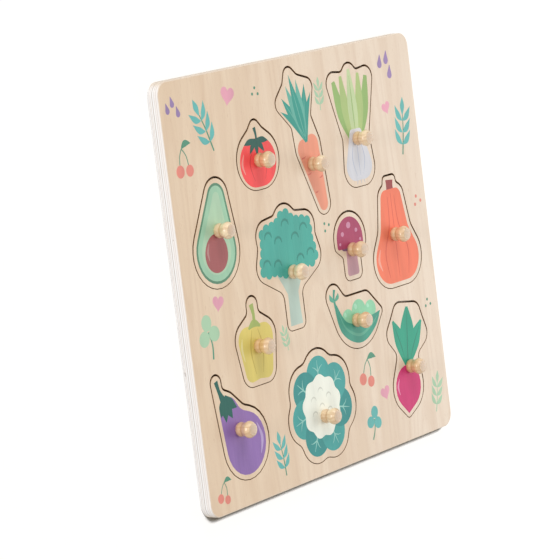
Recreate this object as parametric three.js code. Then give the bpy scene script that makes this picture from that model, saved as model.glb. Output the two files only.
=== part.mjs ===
// Wooden inset puzzle: a square board of two plywood sheets, with twelve vegetable-shaped pieces
// that lift out of its recesses by turned pegs. Millimetres, +Z up. The board lies flat on its back,
// the origin is the centre of its underside, and +Y points to the top of the picture.
import * as THREE from 'three';

// Board: a plain back sheet glued to a front sheet with the recesses cut right through it
const BOARD_WIDTH = 300;
const BOARD_HEIGHT = 300;
const BOARD_CORNER_RADIUS = 10;
const BACK_THICKNESS = 4;
const FRONT_THICKNESS = 5;
const EDGE_BORDER = 6; // least wood between a recess and the edge of the board

// Fit of a piece in its recess
const RECESS_CLEARANCE = 0.8; // gap all round a centred piece
const LOWER_GAP = 0.35; // gap left under a piece that has slid down in its recess

// Turned peg, glued into a hole right through its piece
const PEG_HEIGHT = 12.4;
const PEG_FOOT_DIAMETER = 9.2;
const PEG_BEAD_DIAMETER = 10.4;
const PEG_BEAD_HEIGHT = 1.9;
const PEG_WAIST_DIAMETER = 9.5;
const PEG_WAIST_HEIGHT = 4.8;
const PEG_HEAD_DIAMETER = 12;
const PEG_HEAD_HEIGHT = 9;
const PEG_END_DIAMETER = 9;
const PEG_END_CROWN = 0.3; // how far the middle of the peg's end stands above its rim
const TENON_DIAMETER = 6;
const TENON_GLUE_GAP = 0.2;
const TENON_END_GAP = 0.5; // how far the tenon stops short of the piece's underside

// Smoothness of the facets
const CHORD_TOLERANCE = 0.07;
const PEG_FACETS = 20;
const PEG_PROFILE_STEPS = 11;

// Finishes
const BIRCH = { roughness: 0.62, metalness: 0 };
const FACE_COLOUR = 0xdec5ac;
const BACK_COLOUR = 0xe6dccb;
const PEG_COLOUR = 0xe1c396;

// The vegetables are drawn on a grid with this many steps along the shorter side of the board.
const GRID_STEPS = 300;

// A vegetable's outline is a belt drawn round pulleys [x, y, radius]: a positive radius bulges out and a
// negative one dips in. Symmetric outlines list the right half, bottom to top. The peg stands at the
// outline's own origin unless it has a place of its own, and the tilt turns both, in degrees.
const VEGETABLES = [
  {
    name: 'tomato',
    colour: 0xf05f5f,
    across: -0.416,
    up: 0.733,
    peg: [0, 1],
    half: [[3.5, 1, 20.5], [11.5, 26.5, -5], [0, 23.5, 5.5]],
  },
  {
    name: 'carrot',
    colour: 0xf09682,
    across: 0.03,
    up: 0.99,
    tilt: 14,
    peg: [-1.5, -0.5],
    half: [[0, -31.5, 8], [5, 12, 10], [19, 30, -6.5], [16, 51, 7], [14, 68.5, -7], [0, 66, 6]],
  },
  {
    name: 'spring_onion',
    colour: 0x96c36e,
    across: 0.61,
    up: 0.93,
    half: [[5.5, -21.5, 13.5], [24.5, 0, -8], [20, 42, 8.5], [11, 54.5, -5], [0, 46.5, 8.5]],
  },
  {
    name: 'avocado',
    colour: 0xa5d2af,
    across: -0.92,
    up: 0.39,
    tilt: -10,
    peg: [1.5, 0],
    half: [[0, -14.3, 25.5], [49.5, 12, -30], [0, 23, 13]],
  },
  {
    name: 'broccoli',
    colour: 0x58aa9b,
    across: -0.27,
    up: 0.04,
    peg: [1.5, 0.5],
    half: [
      [5.5, -35.5, 5], [19.5, -18.5, -9], [26.5, 8.5, 11.5], [41, 23.5, -7],
      [23, 29.5, 11.5], [15, 47.5, -5.5], [0, 35.5, 13.5],
    ],
  },
  {
    name: 'mushroom',
    colour: 0xa54173,
    across: 0.38,
    up: 0.05,
    peg: [0, 1.5],
    half: [[5, -15, 5.5], [14.5, -5, -4], [15.2, 5.5, 4], [0, 9.5, 19.5]],
  },
  {
    name: 'squash',
    colour: 0xf3876e,
    across: 0.93,
    up: 0.07,
    peg: [-1.5, 0.5],
    half: [[10, -17.5, 21], [40, 12, -20], [6.5, 27.5, 10], [11.7, 40.1, -3.5], [4.5, 40.5, 3.5]],
  },
  {
    name: 'pepper',
    colour: 0xd2c364,
    across: -0.645,
    up: -0.35,
    peg: [1.5, 0],
    half: [[8.5, -16.5, 10.5], [9.5, 5.5, 13.5], [11.5, 26.5, -5.5], [0, 29, 6]],
  },
  {
    name: 'pea_pod',
    colour: 0x4b9b82,
    across: 0.39,
    up: -0.37,
    whole: [[3, 8.5, 29.5], [30.5, 1, 3.5], [14.5, 10, 8.5], [-6.5, 26, -7.5], [-23.5, 21, 9]],
  },
  {
    name: 'radish',
    colour: 0xd25082,
    across: 0.89,
    up: -0.89,
    tilt: -9,
    peg: [2, 0],
    half: [
      [0, -34.5, 3.5], [0, -15, 19.5], [21, 6.5, -7], [17, 24, 9],
      [24.5, 39, -5], [9, 38.5, 9], [0, 54, -6.5],
    ],
  },
  {
    name: 'aubergine',
    colour: 0x9678b4,
    across: -0.915,
    up: -0.89,
    peg: [3.5, 0.5],
    whole: [[9.5, -10.5, 25.5], [16.5, 25.2, -10.5], [-10, 14, 15.5], [-5.4, 34.4, -5], [-16, 36.5, 5.5]],
  },
  {
    name: 'cauliflower',
    colour: 0xf0eee4,
    across: -0.11,
    up: -0.965,
    peg: [1.5, -7.5],
    rosette: { lobes: 7, ring: 23.5, lobeRadius: 18, dipRing: 47.4, dipRadius: 10 },
  },
];

const fullTurn = 2 * Math.PI;
const gridStep = Math.min(BOARD_WIDTH, BOARD_HEIGHT) / GRID_STEPS;

// Full outline of a symmetric shape from its right half: pulleys on the centre line at either end stay single.
function mirrored(half) {
  const last = half.length - 1;
  const leftHalf = half.filter(([x], i) => x !== 0 || (i > 0 && i < last));
  return [...half, ...leftHalf.reverse().map(([x, y, radius]) => [-x, y, radius])];
}

// Equal leaves round the origin, the first one pointing up, with a dip between each two.
function rosettePulleys({ lobes, ring, lobeRadius, dipRing, dipRadius }) {
  return Array.from({ length: lobes }, (_, i) => {
    const lobe = turned([[0, ring, lobeRadius]], (i * 360) / lobes);
    const dip = turned([[0, dipRing, -dipRadius]], ((i + 0.5) * 360) / lobes);
    return [...lobe, ...dip];
  }).flat();
}

function onGrid(pulleys) {
  return pulleys.map((pulley) => pulley.map((steps) => steps * gridStep));
}

function turned(pulleys, degrees) {
  const cos = Math.cos(THREE.MathUtils.degToRad(degrees));
  const sin = Math.sin(THREE.MathUtils.degToRad(degrees));
  return pulleys.map(([x, y, ...radius]) => [x * cos - y * sin, x * sin + y * cos, ...radius]);
}

function pulleysOf({ half, whole, rosette, tilt = 0 }) {
  if (rosette) {
    return turned(onGrid(rosettePulleys(rosette)), tilt);
  }
  return turned(onGrid(whole ?? mirrored(half)), tilt);
}

// Points of a belt that runs anticlockwise round the pulleys, in arcs joined by their common tangents.
// Growing every signed radius by the same amount moves the whole outline out by exactly that much.
function beltOutline(pulleys, growth = 0) {
  const leavingAngles = pulleys.map(([ax, ay, aRadius], i) => {
    const [bx, by, bRadius] = pulleys[(i + 1) % pulleys.length];
    const lean = Math.asin((aRadius - bRadius) / Math.hypot(bx - ax, by - ay));
    return Math.atan2(by - ay, bx - ax) - Math.PI / 2 + lean;
  });
  return pulleys.flatMap(([x, y, radius], i) => {
    const start = leavingAngles.at(i - 1);
    const sense = Math.sign(radius);
    const sweep = THREE.MathUtils.euclideanModulo(sense * (leavingAngles[i] - start), fullTurn);
    const finest = 2 * Math.acos(1 - CHORD_TOLERANCE / Math.max(Math.abs(radius), 2 * CHORD_TOLERANCE));
    const steps = Math.max(1, Math.ceil(sweep / finest));
    return Array.from({ length: steps + 1 }, (_, k) => {
      const angle = start + (sense * sweep * k) / steps;
      return new THREE.Vector2(
        x + (radius + growth) * Math.cos(angle),
        y + (radius + growth) * Math.sin(angle),
      );
    });
  });
}

function circleOutline(x, y, radius) {
  return Array.from({ length: PEG_FACETS }, (_, i) => {
    const angle = (i / PEG_FACETS) * fullTurn;
    return new THREE.Vector2(x + radius * Math.cos(angle), y + radius * Math.sin(angle));
  });
}

// Flat sheet with straight sides, standing on z = 0 of its own frame.
function sheet(outline, holes, thickness) {
  const shape = new THREE.Shape(outline);
  shape.holes = holes.map((points) => new THREE.Path(points));
  return new THREE.ExtrudeGeometry(shape, { depth: thickness, bevelEnabled: false });
}

// Where a vegetable's origin goes on the board: its recess keeps the edge border, and across and up share
// out the room that is left, from -1 at the left or bottom edge to 1 at the right or top edge.
function placeOnBoard(recess, { across, up }) {
  const box = new THREE.Box2().setFromPoints(recess);
  const room = new THREE.Vector2(BOARD_WIDTH, BOARD_HEIGHT).sub(box.getSize(new THREE.Vector2()));
  room.multiplyScalar(0.5).subScalar(EDGE_BORDER);
  return room.multiply(new THREE.Vector2(across, up)).sub(box.getCenter(new THREE.Vector2()));
}

function boardOutline() {
  const x = BOARD_WIDTH / 2 - BOARD_CORNER_RADIUS;
  const y = BOARD_HEIGHT / 2 - BOARD_CORNER_RADIUS;
  return beltOutline([[-x, -y], [x, -y], [x, y], [-x, y]].map((at) => [...at, BOARD_CORNER_RADIUS]));
}

// Peg turned about +Z with its shoulder on z = 0: tenon, bead, waist and rounded head in one profile.
function pegGeometry() {
  const tenonEnd = TENON_END_GAP - FRONT_THICKNESS;
  const rim = PEG_HEIGHT - PEG_END_CROWN;
  const side = new THREE.SplineCurve([
    new THREE.Vector2(PEG_FOOT_DIAMETER / 2, 0),
    new THREE.Vector2(PEG_BEAD_DIAMETER / 2, PEG_BEAD_HEIGHT),
    new THREE.Vector2(PEG_WAIST_DIAMETER / 2, PEG_WAIST_HEIGHT),
    new THREE.Vector2(PEG_HEAD_DIAMETER / 2, PEG_HEAD_HEIGHT),
    new THREE.Vector2(PEG_END_DIAMETER / 2, rim),
  ]);
  const profile = [
    new THREE.Vector2(0, tenonEnd),
    new THREE.Vector2(TENON_DIAMETER / 2, tenonEnd),
    new THREE.Vector2(TENON_DIAMETER / 2, 0),
    ...side.getPoints(PEG_PROFILE_STEPS),
    new THREE.Vector2(0, PEG_HEIGHT),
  ];
  return new THREE.LatheGeometry(profile, PEG_FACETS).rotateX(Math.PI / 2);
}

function wooden(name, geometry, color) {
  const mesh = new THREE.Mesh(geometry, new THREE.MeshStandardMaterial({ color, ...BIRCH }));
  mesh.name = name;
  return mesh;
}

const puzzle = new THREE.Group();
const recesses = [];

for (const vegetable of VEGETABLES) {
  const pulleys = pulleysOf(vegetable);
  const recess = beltOutline(pulleys, RECESS_CLEARANCE);
  const place = placeOnBoard(recess, vegetable);
  recesses.push(recess.map((point) => point.add(place)));

  const [[pegX, pegY]] = turned(onGrid([vegetable.peg ?? [0, 0]]), vegetable.tilt ?? 0);
  const pegHole = circleOutline(pegX, pegY, TENON_DIAMETER / 2 + TENON_GLUE_GAP);
  const piece = wooden(
    `${vegetable.name}_piece`,
    sheet(beltOutline(pulleys), [pegHole], FRONT_THICKNESS),
    vegetable.colour,
  );
  const peg = wooden(`${vegetable.name}_peg`, pegGeometry(), PEG_COLOUR);
  peg.position.set(pegX, pegY, FRONT_THICKNESS);
  const inset = new THREE.Group().add(piece, peg);
  inset.position.set(place.x, place.y - (RECESS_CLEARANCE - LOWER_GAP), BACK_THICKNESS);
  puzzle.add(inset);
}

const backPanel = wooden('back_panel', sheet(boardOutline(), [], BACK_THICKNESS), BACK_COLOUR);
const frontPanel = wooden('front_panel', sheet(boardOutline(), recesses, FRONT_THICKNESS), FACE_COLOUR);
frontPanel.position.z = BACK_THICKNESS;
puzzle.add(backPanel, frontPanel);

export default puzzle;
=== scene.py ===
# Looks of the wooden inset puzzle: plywood sheets with eased edges, twelve printed inset pieces, their
# turned pegs, a pale floor, soft light and the camera. Sizes are millimetres until a mesh is made.
import math

import bmesh
import bpy
import numpy as np
from mathutils import Matrix, Vector
from mathutils.geometry import tessellate_polygon


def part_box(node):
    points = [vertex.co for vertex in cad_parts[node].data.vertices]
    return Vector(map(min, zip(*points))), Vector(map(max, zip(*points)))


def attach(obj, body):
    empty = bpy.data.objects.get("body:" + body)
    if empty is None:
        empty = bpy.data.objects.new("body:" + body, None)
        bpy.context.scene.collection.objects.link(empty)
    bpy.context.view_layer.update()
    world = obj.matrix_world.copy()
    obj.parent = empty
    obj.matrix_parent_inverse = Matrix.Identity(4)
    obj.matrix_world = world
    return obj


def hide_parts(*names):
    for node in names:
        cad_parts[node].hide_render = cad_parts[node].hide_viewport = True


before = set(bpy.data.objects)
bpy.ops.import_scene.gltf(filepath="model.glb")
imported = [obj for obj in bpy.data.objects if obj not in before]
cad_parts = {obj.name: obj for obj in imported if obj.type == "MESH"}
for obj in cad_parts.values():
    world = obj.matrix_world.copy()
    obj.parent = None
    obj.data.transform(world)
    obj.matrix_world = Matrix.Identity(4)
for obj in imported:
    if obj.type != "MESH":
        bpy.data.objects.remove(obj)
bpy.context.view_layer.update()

MM = 0.001
FULL_TURN = 2 * math.pi

# Edges: radius of the sanded rim, of the small groove along the glue joint and of the cut-out edges
RIM_EASE = 0.7
JOINT_EASE = 0.22
CUT_EASE = 0.16
EASE_STEPS = 4
ARC_STEPS = 18
SLACK = 1e-6  # lets a belt that only just touches a pulley pass by instead of going round it
WELD_REACH = 1e-7  # points of a skin that are no farther apart than this, in metres, become one

# Board corners and the fit of the pieces
CORNER_RADIUS = 10.0
RECESS_CLEARANCE = 0.8
PIECE_DROP = 0.45  # how far a piece has slid down in its recess

# Turned peg: radius and height above the piece at its foot, bead, waist, head and end
PEG_FOOT = (4.6, 0.0)
PEG_BEAD = (5.2, 1.9)
PEG_WAIST = (4.75, 4.8)
PEG_HEAD = (6.0, 9.0)
PEG_END = (4.5, 12.1)
PEG_CROWN = 0.3
CROWN_TIP = 0.02  # share of the end's radius that the last small face covers
TENON_RADIUS = 3.0
TENON_LENGTH = 4.5
TENON_GAP = 0.2
TENON_TIP = 0.02  # radius of the small face in the middle of the tenon's underside
PEG_ROUND_STEPS = 64
PEG_SIDE_STEPS = 48
CROWN_STEPS = 10

# Printing: bare wood left round a print, half the width of the finest line, how far ink is let into the
# face and how high it stands, and the step from layer to layer
PRINT_MARGIN = 3.3
FINEST_HALF = 0.05
INK_SINK = 0.02
INK_FILM = 0.03
INK_STEP = 0.003

# Camera on the photograph's line of sight, from the spot on the face that it looks at
CAMERA_AIM = (-41.8, -3.4)
CAMERA_DISTANCE = 2027.4
CAMERA_BACK = Vector((-0.78645, 0.13476, 0.60278))
CAMERA_UP = Vector((0.18206, 0.98313, 0.01774))
CAMERA_LENS = 185.47
CAMERA_SENSOR = 36.0
CAMERA_CLIP = 20.0  # metres

# Floor: half its side and how far it lies below the board, in metres
FLOOR_REACH = 4.0
FLOOR_DROP = 0.0001

# Contact shadow: its reach, the side that it is measured from, and the shares of open air where it is
# darkest and where it ends
CONTACT_REACH = 7.0
CONTACT_SIDE = {"X": -0.8, "Y": 0.6}
CONTACT_DARK = 0.795
CONTACT_CLEAR = 0.862

# Light: the floor's tone for light on its way, its tone to the camera and the glow added to that, and the
# strength of the white room
FLOOR_TONE = (0.82, 0.82, 0.82, 1.0)
SHADOW_TONE = (0.19, 0.165, 0.13, 1.0)
FLOOR_GLOW = 0.89
ROOM_LIGHT = 0.52

# Plywood: where the core of a sheet starts and ends, as shares of its thickness, how far the glue lines
# stray, and how wide a glue line and the joint are to either side
CORE_SHARES = np.array((0.34, 0.66))
PLY_STRAY = 0.5
GLUE_HALF = 0.3
JOINT_HALF = 0.5

# Grain of the woods and mottle of the inks: the size of a lump along X, Y and Z
VENEER_BANDS = (22, 500, 90)
VENEER_CONTOURS = (60, 420, 200)
VENEER_FIBRES = (0.55, 34, 4)
VENEER_FLECKS = (0.8, 5, 2)
CUT_STREAKS = (0.7, 0.7, 9)
EDGE_STRAY = (30, 30, 400)
EDGE_PORES = (0.5, 0.5, 0.5)
EDGE_FIBRES = (9, 9, 0.25)
EDGE_HOLLOWS = (9, 9, 1.2)
PEG_TONES = (40, 40, 60)
PEG_BEND = (9, 9, 60)
PEG_FIBRES = (0.35, 0.35, 6)
INK_MOTTLE = (16, 60, 60)

# Growth lines: how far the sine runs over a veneer's contours, and for a peg the pitch of the layers, their
# bend and how far the sine runs from layer to layer
CONTOUR_SWEEP = 95.0
LAYER_PITCH = 1.7
LAYER_BEND = 7.0
LAYER_SWEEP = 3.1

# Outlines repeated from the construction: pulleys (x, y, signed radius) that a belt runs round. They are
# given whole, as the right half of a symmetric shape from bottom to top, or as a rosette, with the peg's
# place and the tilt in degrees.
VEGETABLES = {
    "tomato": dict(peg=(0, 1), half=[(3.5, 1, 20.5), (11.5, 26.5, -5), (0, 23.5, 5.5)]),
    "carrot": dict(
        tilt=14,
        peg=(-1.5, -0.5),
        half=[(0, -31.5, 8), (5, 12, 10), (19, 30, -6.5), (16, 51, 7), (14, 68.5, -7), (0, 66, 6)],
    ),
    "spring_onion": dict(
        half=[(5.5, -21.5, 13.5), (24.5, 0, -8), (20, 42, 8.5), (11, 54.5, -5), (0, 46.5, 8.5)],
    ),
    "avocado": dict(tilt=-10, peg=(1.5, 0), half=[(0, -14.3, 25.5), (49.5, 12, -30), (0, 23, 13)]),
    "broccoli": dict(
        peg=(1.5, 0.5),
        half=[
            (5.5, -35.5, 5), (19.5, -18.5, -9), (26.5, 8.5, 11.5), (41, 23.5, -7),
            (23, 29.5, 11.5), (15, 47.5, -5.5), (0, 35.5, 13.5),
        ],
    ),
    "mushroom": dict(peg=(0, 1.5), half=[(5, -15, 5.5), (14.5, -5, -4), (15.2, 5.5, 4), (0, 9.5, 19.5)]),
    "squash": dict(
        peg=(-1.5, 0.5),
        half=[(10, -17.5, 21), (40, 12, -20), (6.5, 27.5, 10), (11.7, 40.1, -3.5), (4.5, 40.5, 3.5)],
    ),
    "pepper": dict(
        peg=(1.5, 0),
        half=[(8.5, -16.5, 10.5), (9.5, 5.5, 13.5), (11.5, 26.5, -5.5), (0, 29, 6)],
    ),
    "pea_pod": dict(
        whole=[(3, 8.5, 29.5), (30.5, 1, 3.5), (14.5, 10, 8.5), (-6.5, 26, -7.5), (-23.5, 21, 9)],
    ),
    "radish": dict(
        tilt=-9,
        peg=(2, 0),
        half=[
            (0, -34.5, 3.5), (0, -15, 19.5), (21, 6.5, -7), (17, 24, 9),
            (24.5, 39, -5), (9, 38.5, 9), (0, 54, -6.5),
        ],
    ),
    "aubergine": dict(
        peg=(3.5, 0.5),
        whole=[
            (9.5, -10.5, 25.5), (16.5, 25.2, -10.5), (-10, 14, 15.5), (-5.4, 34.4, -5), (-16, 36.5, 5.5),
        ],
    ),
    "cauliflower": dict(
        peg=(1.5, -7.5),
        rosette=dict(lobes=7, ring=23.5, lobe_radius=18, dip_ring=47.4, dip_radius=10),
    ),
}

# Printing inks, as sRGB
INKS = {
    "tomato_red": (255, 80, 80),
    "tomato_shade": (220, 62, 66),
    "tomato_light": (250, 150, 142),
    "calyx_green": (22, 86, 74),
    "carrot_coral": (244, 158, 128),
    "carrot_shade": (222, 116, 98),
    "frond_teal": (52, 156, 140),
    "frond_light": (104, 182, 164),
    "onion_leaf": (178, 200, 128),
    "onion_leaf_deep": (154, 188, 112),
    "onion_leaf_light": (200, 218, 164),
    "onion_bulb": (222, 222, 227),
    "onion_line": (192, 198, 214),
    "avocado_rim": (92, 142, 112),
    "avocado_flesh": (166, 212, 178),
    "avocado_heart": (184, 218, 184),
    "avocado_stone": (172, 94, 94),
    "stone_light": (190, 138, 134),
    "broccoli_teal": (74, 176, 160),
    "broccoli_deep": (58, 146, 132),
    "broccoli_stalk": (192, 212, 198),
    "mushroom_cap": (173, 64, 101),
    "mushroom_spot": (210, 142, 170),
    "mushroom_stalk": (198, 150, 158),
    "mushroom_gill": (128, 88, 116),
    "squash_coral": (250, 128, 96),
    "squash_shade": (228, 104, 80),
    "squash_light": (250, 172, 150),
    "stalk_brown": (160, 70, 68),
    "pepper_yellow": (228, 208, 110),
    "pepper_shade": (200, 178, 82),
    "pepper_light": (240, 226, 156),
    "pepper_stalk": (166, 184, 100),
    "pod_green": (70, 160, 136),
    "pod_light": (98, 178, 150),
    "pea_mint": (152, 219, 177),
    "pea_light": (176, 234, 200),
    "radish_pink": (216, 52, 118),
    "radish_light": (236, 150, 182),
    "radish_leaf": (46, 163, 132),
    "radish_leaf_deep": (42, 132, 110),
    "aubergine_purple": (148, 112, 178),
    "aubergine_light": (190, 166, 212),
    "aubergine_calyx": (14, 92, 80),
    "cauliflower_curd": (250, 252, 238),
    "curd_shade": (222, 224, 210),
    "cauliflower_leaf": (70, 166, 160),
    "cauliflower_leaf_deep": (52, 146, 142),
    "leaf_vein": (150, 208, 196),
    "sprig_teal": (104, 190, 184),
    "sprig_green": (84, 150, 122),
    "sprig_pale": (176, 212, 176),
    "heart_pink": (238, 168, 186),
    "drop_lilac": (160, 134, 182),
    "berry_coral": (238, 142, 126),
}


def box_mm(node):
    """Lowest and highest corner of a CAD node at rest, in millimetres."""
    return [np.array(corner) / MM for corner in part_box(node)]


board_low, board_high = box_mm("front_panel")
SEAM_Z, FACE_Z = board_low[2], board_high[2]
BACK_Z = box_mm("back_panel")[0][2]


# Outlines

def turned(points, degrees):
    """Points turned anticlockwise about the origin; columns after x and y go with them."""
    points = np.array(points, float)
    cos, sin = math.cos(math.radians(degrees)), math.sin(math.radians(degrees))
    x, y = points[:, 0].copy(), points[:, 1].copy()
    points[:, 0], points[:, 1] = x * cos - y * sin, x * sin + y * cos
    return points


def mirrored(half):
    """Pulleys of a symmetric shape from its right half; an end pulley on the centre line stays single."""
    half = np.array(half, float)
    is_end = np.isin(np.arange(len(half)), (0, len(half) - 1))
    is_single = is_end & (half[:, 0] == 0)
    return np.vstack([half, half[~is_single][::-1] * (-1, 1, 1)])


def rosette(lobes, ring, lobe_radius, dip_ring, dip_radius):
    """Pulleys of equal lobes round the origin, the first one pointing up, with a dip between each two."""
    bearing = FULL_TURN * (0.25 + np.arange(2 * lobes) / (2 * lobes))
    is_lobe = np.arange(2 * lobes) % 2 == 0
    reach = np.where(is_lobe, ring, dip_ring)
    radius = np.where(is_lobe, lobe_radius, -dip_radius)
    return np.stack([reach * np.cos(bearing), reach * np.sin(bearing), radius], -1)


def pulleys_of(vegetable):
    """Pulleys of a vegetable's outline in its own upright frame."""
    if "rosette" in vegetable:
        return rosette(**vegetable["rosette"])
    return np.array(vegetable["whole"], float) if "whole" in vegetable else mirrored(vegetable["half"])


def belt(pulleys, growth=0.0):
    """Outline of a belt that runs anticlockwise round pulleys (x, y, signed radius).

    The belt leaves a pulley where its outward normal stands at the bearing of the next pulley, less a
    quarter turn, plus the arcsine of the drop in radius over the distance. It lies on each pulley as an arc
    between two such normals. Growth is added to every signed radius, which moves the whole outline out by
    that much.
    """
    x, y, radius = np.array(pulleys, float).T
    dx, dy = np.roll(x, -1) - x, np.roll(y, -1) - y
    leave = np.arctan2(dy, dx) - np.pi / 2 + np.arcsin((radius - np.roll(radius, -1)) / np.hypot(dx, dy))
    arrive = np.roll(leave, 1)
    sense = np.sign(radius)
    sweep = sense * (np.mod(sense * (leave - arrive) + SLACK, FULL_TURN) - SLACK)
    angle = arrive[:, None] + sweep[:, None] * np.linspace(0, 1, ARC_STEPS + 1)
    reach = (radius + growth)[:, None]
    points = np.stack([x[:, None] + reach * np.cos(angle), y[:, None] + reach * np.sin(angle)], -1)
    return points.reshape(-1, 2)


def smooth_curve(points, samples):
    """Catmull-Rom curve through the points, evenly sampled span by span, with its end points doubled."""
    points = np.array(points, float)
    knots = np.vstack([points[:1], points, points[-1:]])
    along = np.linspace(0, len(points) - 1, samples)
    span = np.minimum(along.astype(int), len(points) - 2)
    t = (along - span)[:, None]
    a, b, c, d = (knots[span + k] for k in range(4))
    return 0.5 * (2 * b + (c - a) * t + (2 * a - 5 * b + 4 * c - d) * t**2 + (3 * b - a - 3 * c + d) * t**3)


def ribbon(points, widths, samples=26):
    """Outline of a leaf, blade or line: a smooth curve, with half of a smooth width on either side."""
    spine = smooth_curve(points, samples)
    half = np.maximum(smooth_curve(np.array(widths, float)[:, None], samples) / 2, FINEST_HALF)
    ahead = np.gradient(spine, axis=0)
    ahead /= np.linalg.norm(ahead, axis=1, keepdims=True)
    side = np.stack([-ahead[:, 1], ahead[:, 0]], -1) * half
    return np.vstack([spine - side, (spine + side)[::-1]])


def oval(x, y, across, tall, turn=0.0, egg=0.0, samples=40):
    """Ellipse about a point whose width shrinks towards its top by the egg share, then turned."""
    angle = np.linspace(0, FULL_TURN, samples, endpoint=False)
    wide = across / 2 * np.cos(angle) * (1 - egg * np.sin(angle))
    return turned(np.stack([wide, tall / 2 * np.sin(angle)], -1), turn) + (x, y)


def curl(x, y, size):
    """Arched mark: a stroke over the upper half of a circle, thickest at its top."""
    angle = np.radians([180, 135, 90, 45, 0])
    arch = np.stack([x + size / 2 * np.cos(angle), y + size / 2 * np.sin(angle)], -1)
    return ribbon(arch, np.array([0.4, 1.2, 1.6, 1.2, 0.4]) * size / 8)


def spaced(loop, count):
    """Points at equal steps along a closed outline, found from its running length."""
    closed = np.vstack([loop, loop[:1]])
    length = np.append(0, np.cumsum(np.linalg.norm(np.diff(closed, axis=0), axis=1)))
    steps = np.linspace(0, length[-1], count, endpoint=False)
    return np.stack([np.interp(steps, length, closed[:, k]) for k in range(2)], -1)


def flipped(outline):
    """Mirror image of an outline across its centre line, still anticlockwise."""
    return (outline * (-1, 1))[::-1]


def pair(ink, outline):
    """An inked outline on the right and its mirror image on the left."""
    return [(ink, outline), (ink, flipped(outline))]


# Meshes

def raised(outline, z):
    """Flat points lifted to a height."""
    return np.column_stack([outline, np.full(len(outline), z)])


def joined(name, parts, materials):
    """Mesh object at the origin from parts (points in mm, faces, material index, smooth)."""
    mesh = bpy.data.meshes.new(name)
    starts = np.cumsum([0] + [len(points) for points, *_ in parts])
    joined_faces = [
        (np.array(face) + start).tolist() for (_, faces, *_), start in zip(parts, starts) for face in faces
    ]
    joined_points = np.concatenate([points for points, *_ in parts]) * MM
    mesh.from_pydata(joined_points.tolist(), [], joined_faces)
    counts = [len(faces) for _, faces, *_ in parts]
    mesh.polygons.foreach_set("material_index", np.repeat([slot for *_, slot, _ in parts], counts))
    mesh.polygons.foreach_set("use_smooth", np.repeat([smooth for *_, smooth in parts], counts))
    mesh.update()
    for material in materials:
        mesh.materials.append(material)
    thing = bpy.data.objects.new(name, mesh)
    bpy.context.scene.collection.objects.link(thing)
    return thing


def ring_quads(rings, count, inward=False):
    """Quads between stacked closed rings of points, facing out of an anticlockwise stack or into it."""
    index = np.arange(rings * count).reshape(rings, count)
    ahead = np.roll(index, -1, axis=1)
    quads = np.stack([index[:-1], ahead[:-1], ahead[1:], index[1:]], -1).reshape(-1, 4)
    return quads[:, ::-1] if inward else quads


def eased_edge(low_z, high_z, low_ease, high_ease):
    """Profile of an edge as rows (growth, z): a straight wall with a quarter round at either end."""
    angle = np.linspace(0, np.pi / 2, EASE_STEPS + 1)
    low = np.stack([low_ease * (np.sin(angle) - 1), low_z + low_ease * (1 - np.cos(angle))], -1)
    high = np.stack([high_ease * (np.cos(angle) - 1), high_z - high_ease * (1 - np.sin(angle))], -1)
    return np.vstack([low, high])


def wall(pulleys, profile, growth=0.0, sense=1):
    """Rings of a wall: the belt outline at each row of an edge profile, whose growth counts along sense."""
    return np.array([raised(belt(pulleys, growth + sense * shift), z) for shift, z in profile])


def filled(loops, upward):
    """Triangles that fill flat loops, facing up or down; every loop after the first is a hole."""
    triangles = np.array(tessellate_polygon([loop.tolist() for loop in loops]))
    corners = np.concatenate(loops)[triangles]
    first, second = corners[:, 1] - corners[:, 0], corners[:, 2] - corners[:, 0]
    is_up = np.sum(first[:, 0] * second[:, 1] - first[:, 1] * second[:, 0]) > 0
    return triangles if is_up == upward else triangles[:, ::-1]


def cut_sheet(name, outer, holes, materials):
    """Closed sheet of wood: an outer wall, the walls of its holes and a flat face at either end of them.

    Faces take the first material, the outer wall the second and the walls of holes the third.
    """
    loops = [outer, *holes]
    walls = [
        (rings.reshape(-1, 3), ring_quads(*rings.shape[:2], inward=k > 0), min(k, 1) + 1, True)
        for k, rings in enumerate(loops)
    ]
    upper, lower = [rings[-1] for rings in loops], [rings[0] for rings in loops]
    top = np.concatenate(upper), filled(upper, True), 0, False
    bottom = np.concatenate(lower), filled(lower, False), 0, False
    sheet = joined(name, [*walls, top, bottom], materials)
    weld(sheet)
    return sheet


def weld(thing):
    """Joins points that lie on each other, so that walls and faces close into one skin."""
    skin = bmesh.new()
    skin.from_mesh(thing.data)
    bmesh.ops.remove_doubles(skin, verts=skin.verts, dist=WELD_REACH)
    skin.to_mesh(thing.data)
    skin.free()


def ink_films(name, drawings, materials):
    """Thin closed films of ink for drawings (layers, place, turn, size), one film for each outline.

    An outline is scaled, turned and moved to its place, and carried straight up from just inside the face.
    Each layer of a drawing stands a step higher than the one before.
    """
    parts = []
    inks = list(materials)
    for layers, place, turn, size in drawings:
        for level, (ink, outline) in enumerate(layers):
            flat = turned(outline * size, turn) + place
            low = raised(flat, FACE_Z - INK_SINK)
            high = raised(flat, FACE_Z + INK_FILM + level * INK_STEP)
            ring = np.arange(len(flat))
            faces = [*ring_quads(2, len(flat)), ring[::-1], ring + len(flat)]
            parts.append((np.vstack([low, high]), faces, inks.index(ink), False))
    return joined(name, parts, materials.values())


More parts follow.
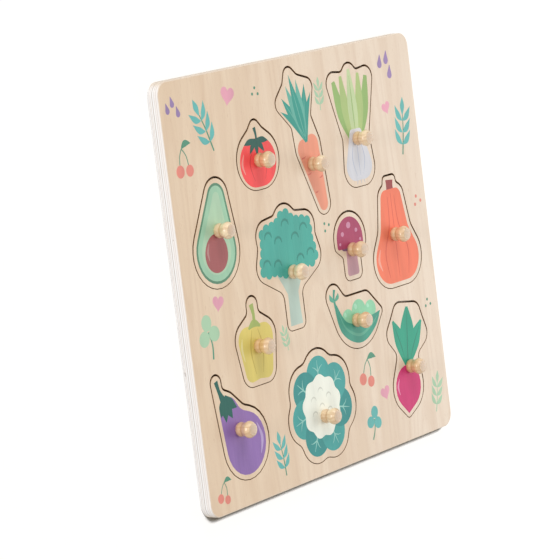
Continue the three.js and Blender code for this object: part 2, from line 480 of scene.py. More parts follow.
def turned_peg(name, x, y, materials):
    """Peg turned about an upright axis: radius and height run along a profile, the angle runs round it.

    The profile goes up the tenon, along a smooth curve through the peg's named stations and over its crown.
    """
    side = smooth_curve([PEG_FOOT, PEG_BEAD, PEG_WAIST, PEG_HEAD, PEG_END], PEG_SIDE_STEPS)
    end_radius, end_height = PEG_END
    over = np.linspace(1, CROWN_TIP, CROWN_STEPS)
    crown = np.stack([end_radius * over, end_height + PEG_CROWN * (1 - over**2)], -1)
    tenon = [(TENON_TIP, -TENON_LENGTH), (TENON_RADIUS, -TENON_LENGTH), (TENON_RADIUS, 0)]
    radius, height = np.vstack([tenon, side, crown[1:]]).T
    angle = np.linspace(0, FULL_TURN, PEG_ROUND_STEPS, endpoint=False)
    rings = np.stack(
        [
            x + radius[:, None] * np.cos(angle),
            y + radius[:, None] * np.sin(angle),
            np.repeat(FACE_Z + height[:, None], PEG_ROUND_STEPS, axis=1),
        ],
        -1,
    )
    count = rings.shape[0] * PEG_ROUND_STEPS
    ends = [np.arange(PEG_ROUND_STEPS)[::-1], np.arange(count - PEG_ROUND_STEPS, count)]
    faces = [*ring_quads(*rings.shape[:2]), *ends]
    return joined(name, [(rings.reshape(-1, 3), faces, 0, True)], materials)


# Finishes

def linear(red, green, blue):
    """Scene-linear colour with alpha from sRGB values of 0 to 255."""
    share = np.array([red, green, blue]) / 255
    value = np.where(share <= 0.04045, share / 12.92, ((share + 0.055) / 1.055) ** 2.4)
    return (*value.tolist(), 1.0)


# Tints that multiply a wood's colour: painted shade on the left of the face, and the tint of every ply
# edge but the left one, which stays white as painted light; the bare wood that shows through worn ink,
# as sRGB, and its share
WHITE = (1.0, 1.0, 1.0, 1.0)
PAINTED_SHADE_TINT = linear(253, 245, 232)
OTHER_EDGES_TINT = linear(246, 235, 219)
BARE_WOOD = np.array((222, 197, 172))
WORN_SHARE = 0.1


def finish(name, roughness):
    """Material of that roughness, with its node tree and its Principled shader."""
    material = bpy.data.materials.new(name)
    material.use_nodes = True
    shader = material.node_tree.nodes["Principled BSDF"]
    shader.inputs["Roughness"].default_value = roughness
    return material, material.node_tree, shader


def add(tree, kind, inputs, **settings):
    """Adds a shader node with inputs that are sockets or values, and gives its first live output."""
    node = tree.nodes.new("ShaderNode" + kind)
    for key, value in settings.items():
        setattr(node, key, value)
    for key, value in inputs.items():
        if isinstance(value, bpy.types.NodeSocket):
            tree.links.new(value, node.inputs[key])
        else:
            node.inputs[key].default_value = value
    return next(output for output in node.outputs if output.enabled)


def reckon(tree, operation, first, second=0.0):
    """One step of arithmetic on two numbers or sockets."""
    return add(tree, "Math", {0: first, 1: second}, operation=operation)


def blend(tree, share, first, second, way="MIX"):
    """Two colours mixed by a share of 0 to 1, or multiplied."""
    return add(tree, "Mix", {0: share, 6: first, 7: second}, data_type="RGBA", blend_type=way)


def stained(tree, base, stain, where, share):
    """A base colour with a share of a stain where a mask is 1, and none where it is 0."""
    return blend(tree, reckon(tree, "MULTIPLY", where, share), base, stain)


def window(tree, value, low, high):
    """A value taken from 0 at low to 1 at high, with smooth ends; low may be the greater of the two."""
    inputs = {"Value": value, "From Min": low, "From Max": high}
    return add(tree, "MapRange", inputs, interpolation_type="SMOOTHSTEP")


def place_of(tree):
    """The piece's own coordinates, in metres."""
    return tree.nodes.new("ShaderNodeTexCoord").outputs["Object"]


def place_along(tree, axis):
    """The piece's own coordinate along an axis, in millimetres."""
    place = add(tree, "SeparateXYZ", {"Vector": place_of(tree)}).node.outputs[axis]
    return reckon(tree, "DIVIDE", place, MM)


def facing_along(tree, axis):
    """How far the surface faces along an axis, from -1 to 1."""
    normal = tree.nodes.new("ShaderNodeNewGeometry").outputs["True Normal"]
    return add(tree, "SeparateXYZ", {"Vector": normal}).node.outputs[axis]


def grain(tree, lump, detail=3.0):
    """Noise whose lumps have the given size in millimetres along X, Y and Z."""
    scale = tuple(1 / (size * MM) for size in lump)
    spot = add(tree, "Mapping", {"Vector": place_of(tree), "Scale": scale})
    return add(tree, "TexNoise", {"Vector": spot, "Scale": 1.0, "Detail": detail, "Roughness": 0.55})


def bumped(tree, shader, height, depth, strength):
    """Relief of the given depth in millimetres."""
    relief = add(tree, "Bump", {"Height": height, "Distance": depth * MM, "Strength": strength})
    tree.links.new(relief, shader.inputs["Normal"])


def growth_lines(tree):
    """Wavy lines of a peeled veneer: the sine of a slow noise, which follows that noise's contours."""
    sweep = reckon(tree, "MULTIPLY", grain(tree, VENEER_CONTOURS, detail=1.5), CONTOUR_SWEEP)
    return window(tree, reckon(tree, "SINE", sweep), -0.2, 1.0)


def birch_veneer(name, pale, deep, line):
    """Sanded birch face: slow bands, growth lines, fine fibres and short dark flecks, all along Y.

    A tint multiplies the colour, warm along the left edge of the board and white along the right: painted
    shade at the left and painted light at the right, where more light falls on the face.
    """
    material, tree, shader = finish(name, 0.5)
    fibres = grain(tree, VENEER_FIBRES)
    flecks = window(tree, grain(tree, VENEER_FLECKS, detail=1.0), 0.66, 0.74)
    colour = blend(tree, window(tree, grain(tree, VENEER_BANDS), 0.3, 0.7), pale, deep)
    colour = stained(tree, colour, line, growth_lines(tree), share=0.17)
    colour = stained(tree, colour, line, window(tree, fibres, 0.45, 0.75), share=0.22)
    colour = stained(tree, colour, line, flecks, share=0.35)
    # painted light and shade: warmer and darker towards the left of the board, whiter towards the right
    across = window(tree, place_along(tree, "X"), board_low[0], board_high[0])
    colour = blend(tree, 1.0, colour, blend(tree, across, PAINTED_SHADE_TINT, WHITE), "MULTIPLY")
    tree.links.new(colour, shader.inputs["Base Color"])
    bumped(tree, shader, fibres, depth=0.05, strength=0.5)
    return material


def scorched_cut(name, dark, brown):
    """Wall of a cut-out, browned by the cut, with fine upright streaks."""
    material, tree, shader = finish(name, 0.75)
    streaks = grain(tree, CUT_STREAKS)
    tree.links.new(blend(tree, window(tree, streaks, 0.3, 0.7), dark, brown), shader.inputs["Base Color"])
    bumped(tree, shader, streaks, depth=0.05, strength=0.5)
    return material


def ply_edge(name, long_grain, end_grain, glue, hollow):
    """Sawn edge of two three-ply sheets: cores and outer plies show end grain and long grain by turns.

    A core mask is 1 in the cores and 0 in the outer plies. On the left and right edges the cores show end
    grain, on the upper and lower edges the outer plies do. Glue lines are narrow dips in the distance to a
    set height, and small hollows lie in the cores. The wood darkens a little from the joint up to the face.
    Every edge but the left one is a little yellower; the left one stays paler as painted light.
    """
    material, tree, shader = finish(name, 0.7)
    stray = reckon(tree, "MULTIPLY", reckon(tree, "SUBTRACT", grain(tree, EDGE_STRAY), 0.5), PLY_STRAY)
    height = reckon(tree, "ADD", place_along(tree, "Z"), stray)
    facing = facing_along(tree, "X")

    def off(level):
        """Distance in height from a level."""
        return reckon(tree, "ABSOLUTE", reckon(tree, "SUBTRACT", height, level))

    def line_at(level, half):
        """1 along a line at a level, and 0 from half its width on."""
        return window(tree, off(level), half, 0.3 * half)

    def within(low, high):
        """1 between two levels and 0 outside."""
        return reckon(tree, "LESS_THAN", off((low + high) / 2), (high - low) / 2)

    sheets = (BACK_Z, SEAM_Z), (SEAM_Z, FACE_Z)
    glue_lines = [low + CORE_SHARES * (high - low) for low, high in sheets]
    core = reckon(tree, "MAXIMUM", *[within(*levels) for levels in glue_lines])
    is_side = window(tree, reckon(tree, "ABSOLUTE", facing), 0.5, 0.85)
    is_upper_or_lower = reckon(tree, "SUBTRACT", 1.0, is_side)
    shows_end = reckon(tree, "ABSOLUTE", reckon(tree, "SUBTRACT", is_upper_or_lower, core))
    pores = window(tree, grain(tree, EDGE_PORES, detail=2.0), 0.35, 0.7)
    fibres = grain(tree, EDGE_FIBRES)
    long_wood = stained(tree, long_grain, end_grain, window(tree, fibres, 0.4, 0.8), share=0.4)
    colour = blend(tree, shows_end, long_wood, blend(tree, pores, end_grain, long_grain))
    above_joint = window(tree, height, SEAM_Z, FACE_Z)
    colour = stained(tree, colour, end_grain, above_joint, share=0.6)
    # painted light: the left edge stays white, every other edge takes a yellower tint
    painted_left_light_tint = blend(tree, window(tree, facing, -0.9, -0.4), WHITE, OTHER_EDGES_TINT)
    colour = blend(tree, 1.0, colour, painted_left_light_tint, "MULTIPLY")
    for level in np.concatenate(glue_lines):
        colour = stained(tree, colour, glue, line_at(level, GLUE_HALF), share=0.6)
    colour = stained(tree, colour, glue, line_at(SEAM_Z, JOINT_HALF), share=0.8)
    hollows = window(tree, grain(tree, EDGE_HOLLOWS, detail=1.0), 0.74, 0.78)
    colour = blend(tree, reckon(tree, "MULTIPLY", hollows, core), colour, hollow)
    tree.links.new(colour, shader.inputs["Base Color"])
    bumped(tree, shader, fibres, depth=0.08, strength=0.5)
    return material


def peg_wood(name, pale, deep, line, end):
    """Turned peg of pale wood under a thin lacquer: growth layers cut by the lathe and fine upright fibres.

    The foot and the groove are browner than the head, by height above the piece: painted shade under the
    head and in the groove. The end shows darker end grain, where the crown faces almost straight up, with
    the growth layers as faint lines.
    """
    material, tree, shader = finish(name, 0.4)
    bend = reckon(tree, "MULTIPLY", grain(tree, PEG_BEND, detail=2.0), LAYER_BEND)
    layers = reckon(tree, "ADD", reckon(tree, "DIVIDE", place_along(tree, "Y"), LAYER_PITCH), bend)
    sweep = reckon(tree, "MULTIPLY", layers, LAYER_SWEEP)
    rings = window(tree, reckon(tree, "SINE", sweep), -0.6, 1.0)
    fibres = grain(tree, PEG_FIBRES)
    height = reckon(tree, "SUBTRACT", place_along(tree, "Z"), FACE_Z)
    off_groove = reckon(tree, "ABSOLUTE", reckon(tree, "SUBTRACT", height, PEG_WAIST[1]))
    colour = blend(tree, window(tree, grain(tree, PEG_TONES), 0.3, 0.7), pale, deep)
    # painted shade: browner from below the head down to the foot
    colour = stained(tree, colour, line, window(tree, height, 7.0, 3.2), share=0.35)
    # painted shade: a darker line along the groove
    colour = stained(tree, colour, line, window(tree, off_groove, 0.9, 0.2), share=0.7)
    colour = stained(tree, colour, line, rings, share=0.35)
    colour = stained(tree, colour, line, window(tree, fibres, 0.5, 0.8), share=0.4)
    end_grain = stained(tree, end, line, rings, share=0.35)
    is_end = window(tree, facing_along(tree, "Z"), 0.987, 0.997)
    tree.links.new(blend(tree, is_end, colour, end_grain), shader.inputs["Base Color"])
    shader.inputs["Coat Weight"].default_value = 0.8
    shader.inputs["Coat Roughness"].default_value = 0.15
    bumped(tree, shader, fibres, depth=0.04, strength=0.4)
    return material


def printed_ink(name, rgb):
    """Flat printing ink, slightly mottled, with the wood's fibres showing through."""
    material, tree, shader = finish(name, 0.55)
    ink = np.array(rgb)
    deep = linear(*(0.93 * ink))
    worn = linear(*((1 - WORN_SHARE) * ink + WORN_SHARE * BARE_WOOD))
    fibres = grain(tree, VENEER_FIBRES)
    colour = blend(tree, window(tree, grain(tree, INK_MOTTLE), 0.3, 0.7), linear(*rgb), deep)
    colour = stained(tree, colour, worn, window(tree, fibres, 0.45, 0.8), share=0.6)
    tree.links.new(colour, shader.inputs["Base Color"])
    shader.inputs["Specular IOR Level"].default_value = 0.3
    bumped(tree, shader, fibres, depth=0.03, strength=0.4)
    return material


FACE_VENEER = birch_veneer(
    "birch_face",
    pale=linear(236, 218, 197),
    deep=linear(226, 204, 180),
    line=linear(206, 176, 149),
)
BACK_VENEER = birch_veneer(
    "birch_back",
    pale=linear(233, 217, 198),
    deep=linear(223, 203, 182),
    line=linear(201, 173, 147),
)
CUT_WALL = scorched_cut("scorched_cut", dark=linear(112, 82, 54), brown=linear(160, 124, 86))
PLY_EDGE = ply_edge(
    "ply_edge",
    long_grain=linear(252, 250, 248),
    end_grain=linear(242, 233, 226),
    glue=linear(192, 181, 170),
    hollow=linear(96, 78, 62),
)
PEG_WOOD = peg_wood(
    "peg_wood",
    pale=linear(248, 226, 190),
    deep=linear(226, 186, 140),
    line=linear(194, 148, 100),
    end=linear(176, 142, 100),
)
INK_FINISH = {name: printed_ink("ink_" + name, rgb) for name, rgb in INKS.items()}


# Prints, in each vegetable's own upright frame, lowest layer first

def tomato_print():
    """Round fruit with rib lines, a five-leaved calyx and a short stalk."""
    tips = [(-14, 13), (-8.5, 6), (0, 3.5), (8.5, 6), (14, 13)]
    leaves = [ribbon([(0, 15), (0.55 * x, 8 + 0.5 * y), (x, y)], [2.2, 4.4, 0]) for x, y in tips]
    return [
        ("tomato_red", belt([(3.8, -0.6, 17), (-3.8, -0.6, 17)])),
        *pair("tomato_shade", ribbon([(3, 11), (9.5, 0), (6, -13)], [0.5, 1.1, 0.4])),
        ("tomato_light", ribbon([(-15.5, 7), (-18.3, 0), (-16, -7)], [0.6, 2.2, 0.6])),
        *[("calyx_green", leaf) for leaf in leaves],
        ("calyx_green", ribbon([(0, 13), (0.8, 18), (-0.4, 24)], [2.4, 2.0, 3.2])),
    ]


def carrot_print():
    """Tapered root with short ring marks and a fan of seven fronds."""
    marks = [(-10.6, 7, 5.5), (10.0, 1.5, -5.2), (-8.6, -6, 4.6), (7.4, -13, -4.2), (-5.6, -21, 3.6)]
    rings = [
        ribbon([(x, y), (x + 0.6 * run, y - 0.4), (x + run, y)], [1.3, 1.0, 0.3]) for x, y, run in marks
    ]
    return [
        ("carrot_coral", belt(mirrored([(0, -31.5, 5.2), (5.2, 12, 7.4)]))),
        *[("carrot_shade", ring) for ring in rings],
        *pair("frond_teal", ribbon([(0, 16), (6.2, 31.5), (19.5, 46.5)], [2.5, 6.6, 0])),
        *pair("frond_teal", ribbon([(0, 16), (6.6, 36), (14.5, 54.5)], [2.5, 8.4, 0])),
        *pair("frond_light", ribbon([(0, 16), (3.6, 40), (6.6, 61)], [2.5, 7.6, 0])),
        ("frond_teal", ribbon([(0, 16), (0, 40), (0, 67)], [3, 8.6, 0])),
        *pair("frond_light", ribbon([(0.5, 20), (6.6, 36), (12.6, 50)], [0.5, 0.9, 0.2])),
        ("frond_light", ribbon([(0, 18), (0, 40), (0, 60)], [0.6, 0.9, 0.2])),
    ]


def spring_onion_print():
    """Pale bulb with fine lines and rootlets, and five broad upright leaves."""
    bulb = mirrored([(5.6, -20.0, 10.4), (16.6, 0.2, -7.0), (4.6, 4.2, 3)])
    roots = [(-3.5, -5), (0, 0.4), (3.5, 4.6)]
    return [
        *[("onion_line", ribbon([(x, -29), (end, -33.2)], [0.9, 0.4])) for x, end in roots],
        *pair("onion_leaf_deep", ribbon([(4.5, 0), (14, 20), (20.5, 44)], [6, 10.5, 4])),
        *pair("onion_leaf", ribbon([(3, 0), (8.5, 22), (11, 47)], [6, 10, 3])),
        ("onion_leaf_light", ribbon([(0, 0), (0, 24), (0, 51)], [7, 11.5, 3])),
        ("onion_leaf_deep", ribbon([(0, 4), (0, 24), (0, 46)], [0.5, 0.9, 0.3])),
        ("onion_bulb", belt(bulb)),
        *pair("onion_line", ribbon([(3.2, 0), (7.5, -14), (4, -27)], [0.4, 0.9, 0.3])),
        ("onion_line", ribbon([(0, 1), (0, -14), (0, -27)], [0.4, 0.9, 0.3])),
    ]


def avocado_print():
    """Halved fruit: skin, two tones of flesh and a round stone with a glint."""
    skin = pulleys_of(VEGETABLES["avocado"])
    depths = {"avocado_rim": 0.0, "avocado_flesh": 1.8, "avocado_heart": 6.2}
    return [
        *[(ink, belt(skin, -PRINT_MARGIN - depth)) for ink, depth in depths.items()],
        ("avocado_stone", oval(0, -15.5, 25, 27, egg=0.06)),
        ("stone_light", ribbon([(-8.4, -9), (-9.6, -15), (-7.6, -21)], [0.6, 2.2, 0.6])),
    ]


def broccoli_print():
    """Branching stalk under a crown with a scalloped edge and curled floret marks."""
    upper = np.array(VEGETABLES["broccoli"]["half"][2:]) - (0, 0, PRINT_MARGIN)
    crown = mirrored([(7.5, 3.5, 6), (16.7, -3.2, -4.2), *upper])
    florets = [(0, 34), (21, 28), (26, 9), (10, 23), (13.5, 7), (-10, 23), (-21, 28), (-26, 9), (-13.5, 7)]
    return [
        *pair("broccoli_stalk", ribbon([(0, -14), (8.5, -3), (17, 8)], [11, 8, 7])),
        ("broccoli_stalk", ribbon([(0, -37.2), (0, -16), (0, 8)], [14.4, 12.4, 15])),
        ("broccoli_teal", belt(crown, -2.2)),
        *[("broccoli_teal", oval(x, y, 7.6, 7.6, samples=24)) for x, y in spaced(belt(crown, -3.2), 27)],
        *[("broccoli_deep", curl(x, y, 8.5)) for x, y in florets],
    ]


def mushroom_print():
    """Domed cap with pale spots over a gilled stalk."""
    spots = [(0, 19.5, 5.2), (-8.5, 14, 3.8), (8.8, 14.6, 3.4), (-12.6, 7.2, 2.4), (12.8, 7.4, 2.6)]
    return [
        ("mushroom_stalk", belt(mirrored([(4.8, -15, 2.3), (4, 2, 2.2)]))),
        ("mushroom_gill", oval(0, 3.1, 22, 4.6)),
        ("mushroom_cap", belt([(14, 5.4, 2.2), (0, 9.5, 16.2), (-14, 5.4, 2.2)])),
        *[("mushroom_spot", oval(x, y, size, 0.9 * size, samples=24)) for x, y, size in spots],
    ]


def squash_print():
    """Long-necked squash with curved ribs and a brown stalk."""
    body = np.array(VEGETABLES["squash"]["half"][:3]) - (0, 0, PRINT_MARGIN)
    return [
        ("stalk_brown", ribbon([(0, 31), (0, 36.5), (0.4, 41)], [9.4, 8.2, 9.2])),
        ("squash_coral", belt(mirrored(body))),
        ("squash_shade", ribbon([(0, 31), (0, 0), (0, -32)], [0.5, 1.2, 0.5])),
        *pair("squash_shade", ribbon([(4.4, 29), (6, 8), (14.5, -12), (12, -31)], [0.5, 1.2, 1.2, 0.5])),
        ("squash_light", ribbon([(-21, -8), (-24, -16), (-21, -24)], [0.8, 2.6, 0.8])),
    ]


def pepper_print():
    """Lobed yellow pepper with fold lines, a green cap and its stalk."""
    body = [(0, -27.8, -5.2), (8.6, -16.5, 7.2), (9.8, 5.4, 9.9), (0, 21.8, -6.6)]
    return [
        ("pepper_yellow", belt(mirrored(body))),
        *pair("pepper_shade", ribbon([(3.4, 12), (7, -2), (4, -19)], [0.5, 1.2, 0.4])),
        ("pepper_light", ribbon([(-15.4, 8), (-16.8, 1), (-15, -8)], [0.6, 2.2, 0.6])),
        ("pepper_stalk", ribbon([(-6.8, 13.4), (0, 16.4), (6.8, 13.4)], [1.4, 5.4, 1.4])),
        ("pepper_stalk", ribbon([(0, 15), (0.6, 22), (-0.8, 30)], [3.6, 3.0, 4.6])),
    ]


def pea_pod_print():
    """Open pod with three peas standing in it and a leafy stem at its end."""
    peas = [(-9, 2.4, 14.4), (5.2, 5.6, 17.6), (19.6, 4.4, 13.8)]
    glints = [oval(x - 0.2 * size, y + 0.24 * size, 0.2 * size, 0.26 * size, 30) for x, y, size in peas]
    shell = [(-22.6, 14.5), (-14.5, -3), (4, -10.4), (21, -5), (31.2, 1.2)]
    fold = [(-19, 7), (-12, -4.6), (4, -11.6), (20, -6.4), (27, -2)]
    return [
        *[("pea_mint", oval(x, y, size, size)) for x, y, size in peas],
        *[("pea_light", glint) for glint in glints],
        ("pod_green", ribbon(shell, [3, 10, 14, 10, 0.6])),
        ("pod_light", ribbon(fold, [0.5, 1.6, 2.2, 1.6, 0.4])),
        ("pod_green", ribbon([(-22.4, 13), (-23.6, 20), (-22, 26.4)], [2.6, 2.0, 2.6])),
        ("pod_light", ribbon([(-23.4, 17.5), (-27, 20.5), (-28.2, 24)], [0.8, 3.6, 0])),
        ("pod_light", ribbon([(-23, 18), (-19, 20.5), (-17.8, 23.4)], [0.8, 3.4, 0])),
    ]


def radish_print():
    """Round root drawn to a point, with a pale glint and three veined leaves."""
    return [
        *pair("radish_leaf", ribbon([(1, 0), (9.2, 19), (18.5, 34)], [3, 13, 2])),
        *pair("radish_leaf_deep", ribbon([(2, 3), (9.4, 18), (16.4, 30)], [0.9, 1.0, 0.3])),
        ("radish_leaf", ribbon([(0, 0), (0, 25), (0, 44.5)], [3.4, 18, 3])),
        ("radish_leaf_deep", ribbon([(0, 2), (0, 22), (0, 41)], [1.0, 1.1, 0.3])),
        ("radish_pink", belt([(0, -34.5, 0.5), (0, -15, 16.2)])),
        ("radish_light", ribbon([(-11.6, -9), (-13.4, -15), (-11, -21)], [0.5, 2.0, 0.5])),
    ]


def aubergine_print():
    """Leaning fruit with a long glint and a leafy cap on a bent stalk."""
    body = [(9.5, -10.5, 22.1), (16.5, 25.2, -13.9), (-5.5, 15, 10.1)]
    tips = [(-14.8, 12.5), (-9.5, 8), (-2, 9.5), (4, 16)]
    leaves = [ribbon([(-9, 25), (0.5 * x - 4.6, 0.5 * y + 12), (x, y)], [5, 7.6, 0]) for x, y in tips]
    return [
        ("aubergine_purple", belt(body)),
        ("aubergine_light", ribbon([(23.5, 1), (27.6, -10), (24.5, -21)], [0.6, 2.8, 0.6])),
        *[("aubergine_calyx", leaf) for leaf in leaves],
        ("aubergine_calyx", ribbon([(-9.4, 22), (-13.4, 30), (-15.8, 38)], [7.5, 3.4, 4.2])),
    ]


def cauliflower_print():
    """Ring of seven veined leaves round a lobed white curd with curled marks."""
    lobes = VEGETABLES["cauliflower"]["rosette"]["lobes"]
    bearing = np.arange(lobes) * 360 / lobes
    florets = np.vstack([(0, -1), *(turned([(0, 10.5)], angle) for angle in np.arange(6) * 60)])
    leaf_ink = ["cauliflower_leaf", "cauliflower_leaf_deep"]
    leaf = belt([(0, 22.5, 14.2), (0, 8, 12)])
    side_vein = ribbon([(0, 25), (3, 28), (6, 29.4)], [0.9, 0.7, 0.2])
    veins = [ribbon([(0, 18), (0, 26), (0, 33.5)], [1.4, 1.0, 0.3]), side_vein, flipped(side_vein)]
    curd = rosette(lobes=9, ring=16.5, lobe_radius=6.8, dip_ring=24.3, dip_radius=3.2)
    return [
        *[(leaf_ink[k % 2], turned(leaf, angle)) for k, angle in enumerate(bearing)],
        *[("leaf_vein", turned(vein, angle)) for angle in bearing for vein in veins],
        ("cauliflower_curd", belt(curd)),
        *[("curd_shade", curl(x, y, 6)) for x, y in florets],
    ]


PRINTS = {
    "tomato": tomato_print,
    "carrot": carrot_print,
    "spring_onion": spring_onion_print,
    "avocado": avocado_print,
    "broccoli": broccoli_print,
    "mushroom": mushroom_print,
    "squash": squash_print,
    "pepper": pepper_print,
    "pea_pod": pea_pod_print,
    "radish": radish_print,
    "aubergine": aubergine_print,
    "cauliflower": cauliflower_print,
}


# Small motifs printed on the board between the recesses

def sprig(stem, leaf):
    """Upright stem with three pairs of leaves and one leaf at its tip."""
    pairs = [pair(leaf, ribbon([(0.4, y), (5, y + 3.5), (9, y + 10)], [0.7, 4.6, 0])) for y in (-9, -1, 7)]
    return [
        (stem, ribbon([(0, -16), (0.8, 0), (0, 14)], [1.3, 1.1, 0.6])),
        *[layer for both in pairs for layer in both],
        (leaf, ribbon([(0, 11), (0, 17), (0, 23)], [0.8, 4.8, 0])),
    ]


def clover(stem, leaf):
    """Three round leaves on a bent stem."""
    return [
        (stem, ribbon([(0, 2), (0.8, -6), (-1.2, -14)], [1.0, 1.1, 1.4])),
        *[(leaf, turned(oval(0, 5.4, 9, 9.6, samples=32), angle) + (0, 2)) for angle in (0, 118, -118)],
    ]


def heart(ink):
    """Heart: sixteen times the cube of the sine across, and a sum of four cosines upwards."""
    angle = np.linspace(FULL_TURN, 0, 60, endpoint=False)
    up = 13 * np.cos(angle) - 5 * np.cos(2 * angle) - 2 * np.cos(3 * angle) - np.cos(4 * angle)
    return [(ink, np.stack([16 * np.sin(angle) ** 3, up], -1) * 0.4)]


def berries(berry, leaf):
    """Two berries on thin stems under one leaf."""
    return [
        (leaf, ribbon([(-4.6, -4), (-2.5, 4), (1, 9)], [0.8, 0.8, 0.8])),
        (leaf, ribbon([(5, -6), (4.4, 3), (1, 9)], [0.8, 0.8, 0.8])),
        (leaf, ribbon([(1, 9), (6, 11.5), (12, 10)], [0.7, 4.6, 0])),
        (berry, oval(-4.8, -5.5, 8.8, 8.8, samples=32)),
        (berry, oval(5.2, -7.5, 8.2, 8.2, samples=32)),
    ]


def drops(ink):
    """Three falling drops."""
    return [(ink, belt([(0, 0, 2.5), (0, 6, 0.3)]) + spot) for spot in ((-6, 1), (1, 4), (5, -5))]


def dots(ink):
    """Three small dots."""
    return [(ink, oval(x, y, 2.2, 2.2, samples=20)) for x, y in ((-3, -1), (0.4, 3), (3.4, -1.6))]


def board_motifs():
    """The motifs with their places on the board, turn and size."""
    teal, green, pale = "sprig_teal", "sprig_green", "sprig_pale"
    return [
        (sprig(green, teal), (-104, 112), 24, 1.05),
        (berries("berry_coral", green), (-132, 94), 8, 1.0),
        (heart("heart_pink"), (-75, 132), -14, 1.15),
        (drops("drop_lilac"), (-136, 130), 12, 0.9),
        (dots(green), (-44, 130), 0, 1.0),
        (sprig(pale, pale), (31, 117), -2, 0.62),
        (drops("drop_lilac"), (117, 128), -10, 1.15),
        (sprig(green, teal), (130, 78), -10, 1.1),
        (heart("heart_pink"), (112, 98), 16, 0.8),
        (dots("berry_coral"), (138, 24), 20, 1.2),
        (clover(green, pale), (-128, -26), 10, 1.2),
        (heart("heart_pink"), (-114, -6), -10, 0.95),
        (dots(green), (20, 24), 40, 1.0),
        (sprig(pale, pale), (-43.5, -46), 12, 0.5),
        (sprig(green, teal), (-64, -126), 8, 0.85),
        (berries("berry_coral", green), (-134, -134), -6, 0.75),
        (berries("berry_coral", green), (48, -88), -8, 1.0),
        (heart("heart_pink"), (68, -108), 12, 0.9),
        (clover(green, teal), (50, -126), -12, 0.95),
        (sprig(pale, pale), (134, -124), -14, 0.8),
        (dots(green), (136, -54), 10, 1.0),
    ]


# Pieces on the board

def set_piece(thing, body, slot, *nodes):
    """Puts a piece on its body and hides the CAD nodes that it replaces. The finish slot is not used."""
    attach(thing, body)
    if nodes:
        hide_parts(*nodes)


def inks_of(drawings):
    """The finishes that drawings use, by ink."""
    return {ink: INK_FINISH[ink] for layers, *_ in drawings for ink, _ in layers}


def peg_place(name):
    """Middle of a vegetable's peg on the board."""
    low, high = box_mm(name + "_peg")
    return (low + high)[:2] / 2


def placed_pulleys(name):
    """Pulleys of a vegetable where its piece lies, with the piece's own origin and tilt."""
    vegetable = VEGETABLES[name]
    tilt = vegetable.get("tilt", 0)
    origin = peg_place(name) - turned([vegetable.get("peg", (0, 0))], tilt)[0]
    return turned(pulleys_of(vegetable), tilt) + (*origin, 0), origin, tilt


def inset_piece(name):
    """One inset: its cut sheet with a peg hole, its turned peg and its print."""
    pulleys, origin, tilt = placed_pulleys(name)
    peg_x, peg_y = peg_place(name)
    bore_width = 2 * (TENON_RADIUS + TENON_GAP)
    hole = oval(peg_x, peg_y, bore_width, bore_width, samples=PEG_ROUND_STEPS)
    bore = np.array([raised(hole, z) for z in (SEAM_Z, FACE_Z)])
    edge = wall(pulleys, eased_edge(SEAM_Z, FACE_Z, CUT_EASE, CUT_EASE))
    sheet = cut_sheet(name + "_inset", edge, [bore], [FACE_VENEER, CUT_WALL, FACE_VENEER])
    set_piece(sheet, name, name + "_print", name + "_piece")
    peg = turned_peg(name + "_turned_peg", peg_x, peg_y, [PEG_WOOD])
    set_piece(peg, name, "turned_peg", name + "_peg")
    drawing = [(PRINTS[name](), origin, tilt, 1.0)]
    films = ink_films(name + "_ink", drawing, inks_of(drawing))
    set_piece(films, name, name + "_print")


def board_sheets():
    """Front sheet with its twelve recesses, on the plain back sheet."""
    x, y = board_high[:2] - CORNER_RADIUS
    outline = [(sx * x, sy * y, CORNER_RADIUS) for sx, sy in ((-1, -1), (1, -1), (1, 1), (-1, 1))]
    rim = wall(outline, eased_edge(SEAM_Z, FACE_Z, JOINT_EASE, RIM_EASE))
    lip = eased_edge(SEAM_Z, FACE_Z, 0.0, CUT_EASE)[EASE_STEPS:]
    recesses = [
        wall(placed_pulleys(name)[0] + (0, PIECE_DROP, 0), lip, RECESS_CLEARANCE, -1) for name in VEGETABLES
    ]
    front = cut_sheet("front_sheet", rim, recesses, [FACE_VENEER, PLY_EDGE, CUT_WALL])
    set_piece(front, "board", "front_sheet", "front_panel")
    foot = wall(outline, eased_edge(BACK_Z, SEAM_Z, RIM_EASE, JOINT_EASE))
    back = cut_sheet("back_sheet", foot, [], [BACK_VENEER, PLY_EDGE])
    set_piece(back, "board", "back_sheet", "back_panel")


board_sheets()
motifs = board_motifs()
set_piece(ink_films("board_ink", motifs, inks_of(motifs)), "board", "front_sheet")
for name in VEGETABLES:
    inset_piece(name)


# Floor, light and camera

def seen_directly(tree):
    """1 for what the camera sees straight on, in a reflection or through glass, 0 for light on its way."""
    path = tree.nodes.new("ShaderNodeLightPath").outputs
    straight_or_mirrored = reckon(tree, "MAXIMUM", path["Is Camera Ray"], path["Is Glossy Ray"])
    return reckon(tree, "MAXIMUM", straight_or_mirrored, path["Is Transmission Ray"])


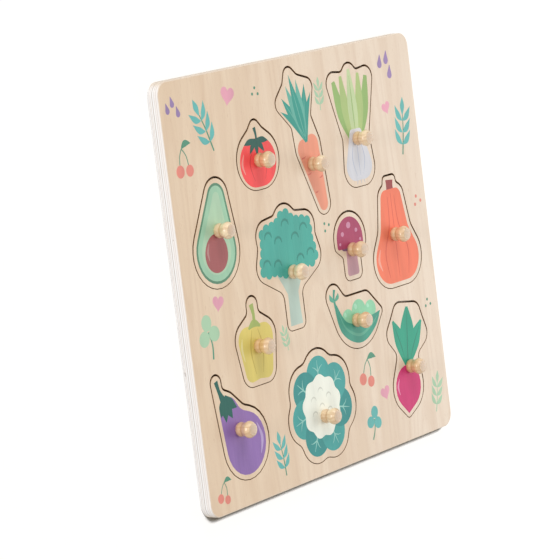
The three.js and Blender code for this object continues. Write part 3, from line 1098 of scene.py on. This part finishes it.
def pale_floor():
    """White floor that the camera sees as an even white, darker where the board shuts out the light.

    The share of open air is measured from the upper left, within a few millimetres of the board's foot.
    """
    mesh = bpy.data.meshes.new("floor")
    corners = np.array([(-1, -1), (1, -1), (1, 1), (-1, 1)]) * FLOOR_REACH
    mesh.from_pydata(raised(corners, -FLOOR_DROP).tolist(), [], [(0, 1, 2, 3)])
    floor = bpy.data.objects.new("floor", mesh)
    bpy.context.scene.collection.objects.link(floor)
    material, tree, shader = finish("floor_paper", 0.9)
    shader.inputs["Specular IOR Level"].default_value = 0.0
    seen = seen_directly(tree)
    tree.links.new(blend(tree, seen, FLOOR_TONE, SHADOW_TONE), shader.inputs["Base Color"])
    near_board = {"Distance": CONTACT_REACH * MM, "Normal": add(tree, "CombineXYZ", CONTACT_SIDE)}
    open_air = add(tree, "AmbientOcclusion", near_board, samples=24).node.outputs["AO"]
    fade = {"From Min": CONTACT_DARK, "From Max": CONTACT_CLEAR, "To Max": FLOOR_GLOW}
    glow = add(tree, "MapRange", {"Value": open_air, **fade})
    shader.inputs["Emission Color"].default_value = WHITE
    tree.links.new(reckon(tree, "MULTIPLY", seen, glow), shader.inputs["Emission Strength"])
    mesh.materials.append(material)


def soft_light(name, place, aim, size, power):
    """Square softbox at a place, turned to the spot that it lights; metres and watts."""
    lamp = bpy.data.lights.new(name, "AREA")
    lamp.size = size
    lamp.energy = power
    thing = bpy.data.objects.new(name, lamp)
    thing.location = place
    thing.rotation_euler = (Vector(aim) - Vector(place)).to_track_quat("-Z", "Y").to_euler()
    bpy.context.scene.collection.objects.link(thing)


def white_room():
    """Even white surroundings, seen as plain white and lighting the board at their own strength."""
    world = bpy.data.worlds.new("white_room")
    world.use_nodes = True
    tree = world.node_tree
    strength = add(tree, "MapRange", {"Value": seen_directly(tree), "To Min": ROOM_LIGHT, "To Max": 1.0})
    tree.links.new(strength, tree.nodes["Background"].inputs["Strength"])
    tree.nodes["Background"].inputs["Color"].default_value = WHITE
    bpy.context.scene.world = world


def photo_camera():
    """Long lens on the photograph's line of sight."""
    data = bpy.data.cameras.new("camera")
    data.lens = CAMERA_LENS
    data.sensor_width = CAMERA_SENSOR
    data.clip_end = CAMERA_CLIP
    camera = bpy.data.objects.new("camera", data)
    back = CAMERA_BACK.normalized()
    right = CAMERA_UP.cross(back).normalized()
    up = back.cross(right)
    aim = Vector((*CAMERA_AIM, FACE_Z)) * MM
    turn = Matrix((right, up, back)).transposed().to_4x4()
    camera.matrix_world = Matrix.Translation(aim + back * CAMERA_DISTANCE * MM) @ turn
    bpy.context.scene.collection.objects.link(camera)
    bpy.context.scene.camera = camera


pale_floor()
white_room()
soft_light("right_softbox", place=(0.95, -0.1, 0.75), aim=(0, 0, 0), size=0.9, power=5.5)
soft_light("top_softbox", place=(0.0, 4.2, 2.6), aim=(0, 0, 0), size=2.3, power=73.0)
soft_light("left_fill", place=(-2.0, 0.3, 0.3), aim=(-0.15, 0, 0), size=0.5, power=14.8)
photo_camera()
bpy.context.scene.view_settings.view_transform = "Standard"
